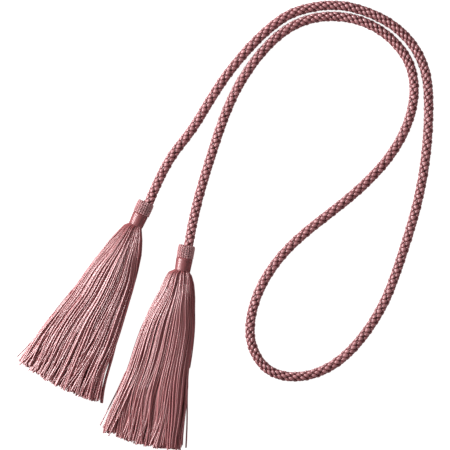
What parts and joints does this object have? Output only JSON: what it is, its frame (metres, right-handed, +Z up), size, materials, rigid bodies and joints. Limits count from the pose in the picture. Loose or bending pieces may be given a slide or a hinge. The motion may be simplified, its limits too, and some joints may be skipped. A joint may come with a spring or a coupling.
{
  "type": "double-tassel curtain tieback",
  "caption": "Braided curtain tieback cord lying in a folded loop, with a capped and satin-bound thread tassel on each of its ends.",
  "frame": {"origin": "on the surface that the tieback lies on, under the middle of the box round the two tassels, the cord left out", "axes": "+Z up from the surface; +Y from the tassels' cut ends towards the cord's fold, as the picture's upright; +X to the picture's right"},
  "size_m": [0.3135, 0.3413, 0.014],
  "materials": {
    "cord_yarn": "lustrous braided yarn, dusty rose",
    "cap_knit": "fine knitted cover, dusty rose",
    "neck_satin": "glossy wound satin thread, dusty rose",
    "skirt_threads": "lustrous plied thread, dusty rose"
  },
  "bodies": {
    "root": {"cord": "cord_yarn", "cap_left": "cap_knit", "cap_right": "cap_knit", "neck_left": "neck_satin", "neck_right": "neck_satin", "skirt_left": "skirt_threads", "skirt_right": "skirt_threads"}
  },
  "joints": []
}
